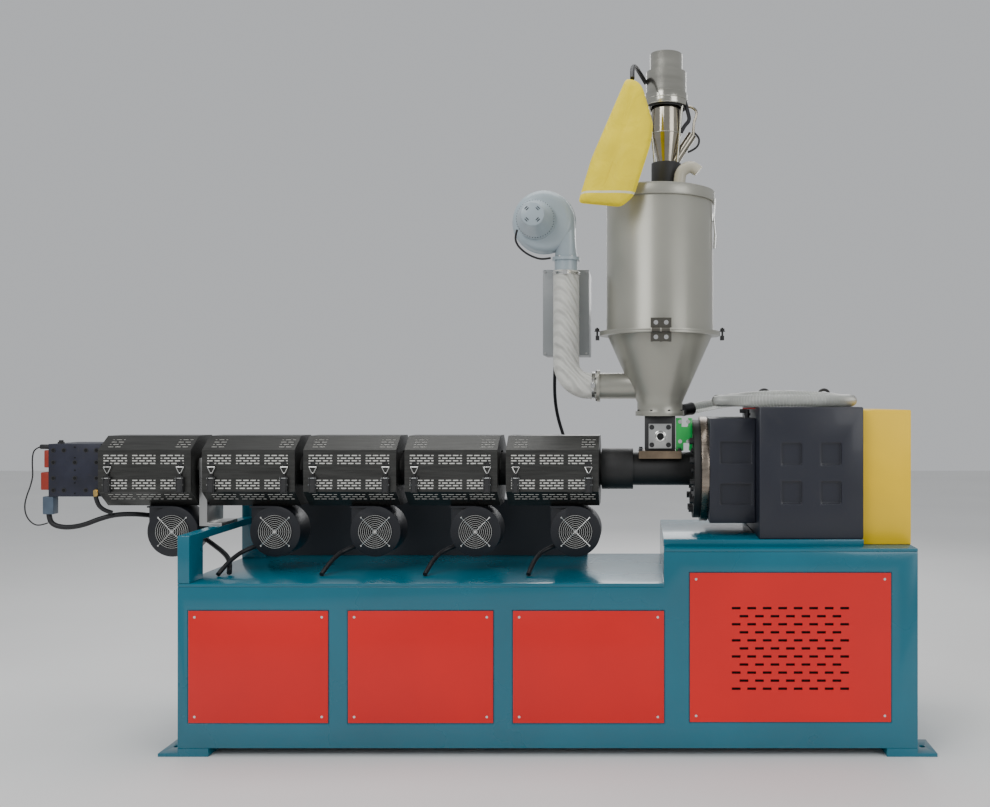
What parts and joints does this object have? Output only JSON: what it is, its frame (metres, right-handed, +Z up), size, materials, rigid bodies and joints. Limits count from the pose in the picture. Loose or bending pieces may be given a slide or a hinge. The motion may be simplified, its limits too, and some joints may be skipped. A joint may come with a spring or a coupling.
{
  "type": "plastic extruder",
  "caption": "Single-screw plastic extruder: heated barrel with hinged covers and cooling fans, gearbox, hopper dryer and vacuum loader on a welded base.",
  "frame": {"origin": "on the floor at the centre of the four foot bolt holes", "axes": "+Z up, -X towards the die head, -Y the operator's side"},
  "size_m": [3.404, 0.7, 2.612],
  "materials": {
    "teal_paint": "gloss enamel",
    "red_paint": "gloss enamel",
    "yellow_paint": "gloss enamel",
    "dark_casting": "semi-gloss paint",
    "cover_steel": "dark brushed",
    "fan_black": "satin",
    "barrel_steel": "dark satin",
    "machined_steel": "machined",
    "hopper_paint": "satin",
    "polished_steel": "polished",
    "grey_steel": "satin",
    "dryer_paint": "satin",
    "duct_wrap": "coarse wrap",
    "box_grey": "satin",
    "head_steel": "dark satin",
    "connector_red": "matte",
    "feed_steel": "heat-tinted",
    "throat_iron": "dark",
    "green_paint": "gloss",
    "cable_black": "matte",
    "clear_hose": "translucent",
    "bag_yellow": "woven",
    "galvanised": "bright"
  },
  "bodies": {
    "machine": {"barrel": "barrel_steel", "barrel_bearer": "galvanised", "barrel_fans": "fan_black", "barrel_flange": "barrel_steel", "barrel_portal": "teal_paint", "block_cable": "cable_black", "box_cable": "cable_black", "control_box": "box_grey", "cover_latches": "barrel_steel", "deck": "teal_paint", "discharge_port": "galvanised", "drive_guard": "yellow_paint", "dryer_blower": "dryer_paint", "dryer_cable": "cable_black", "dryer_motor": "dryer_paint", "end_walls": "teal_paint", "fan_cables": "cable_black", "feed_flange": "feed_steel", "feed_guard": "green_paint", "feed_throat": "throat_iron", "flange_ring": "machined_steel", "foot_plates": "teal_paint", "front_panels": "red_paint", "front_side_frame": "teal_paint", "gearbox_body": "dark_casting", "gearbox_nose": "dark_casting", "gearbox_pad": "teal_paint", "head_block": "head_steel", "head_cable": "cable_black", "head_fittings": "connector_red", "hopper_cone": "hopper_paint", "hose_coil": "clear_hose", "hot_air_duct": "duct_wrap", "lower_covers": "cover_steel", "rear_panels": "red_paint", "rear_side_frame": "teal_paint", "sensor_cable": "cable_black", "suction_hose": "clear_hose", "vent_panel": "red_paint", "wiring_trunk": "barrel_steel"},
    "drum": {"hopper_drum": "hopper_paint", "hopper_lid": "hopper_paint", "loader_base": "grey_steel", "loader_vessel": "polished_steel", "loader_head": "hopper_paint", "bag_pipe": "cable_black", "dust_bag": "bag_yellow"},
    "cover_1": {"upper_cover_1": "cover_steel"},
    "cover_2": {"upper_cover_2": "cover_steel"},
    "cover_3": {"upper_cover_3": "cover_steel"},
    "cover_4": {"upper_cover_4": "cover_steel"},
    "cover_5": {"upper_cover_5": "cover_steel"}
  },
  "joints": [
    {"name": "cover_1_lid", "type": "hinge", "parent": "machine", "child": "cover_1", "pos_m": [-1.541, 0.138, 1], "axis": [-1, 0, 0], "range_deg": [0, 80]},
    {"name": "cover_2_lid", "type": "hinge", "parent": "machine", "child": "cover_2", "pos_m": [-1.159, 0.138, 1], "axis": [-1, 0, 0], "range_deg": [0, 80]},
    {"name": "cover_3_lid", "type": "hinge", "parent": "machine", "child": "cover_3", "pos_m": [-0.777, 0.138, 1], "axis": [-1, 0, 0], "range_deg": [0, 80]},
    {"name": "cover_4_lid", "type": "hinge", "parent": "machine", "child": "cover_4", "pos_m": [-0.395, 0.138, 1], "axis": [-1, 0, 0], "range_deg": [0, 80]},
    {"name": "cover_5_lid", "type": "hinge", "parent": "machine", "child": "cover_5", "pos_m": [-0.013, 0.138, 1], "axis": [-1, 0, 0], "range_deg": [0, 80]},
    {"name": "drum_tilt", "type": "hinge", "parent": "machine", "child": "drum", "pos_m": [0.405, -0.246, 1.524], "axis": [1, 0, 0], "range_deg": [0, 90]}
  ]
}
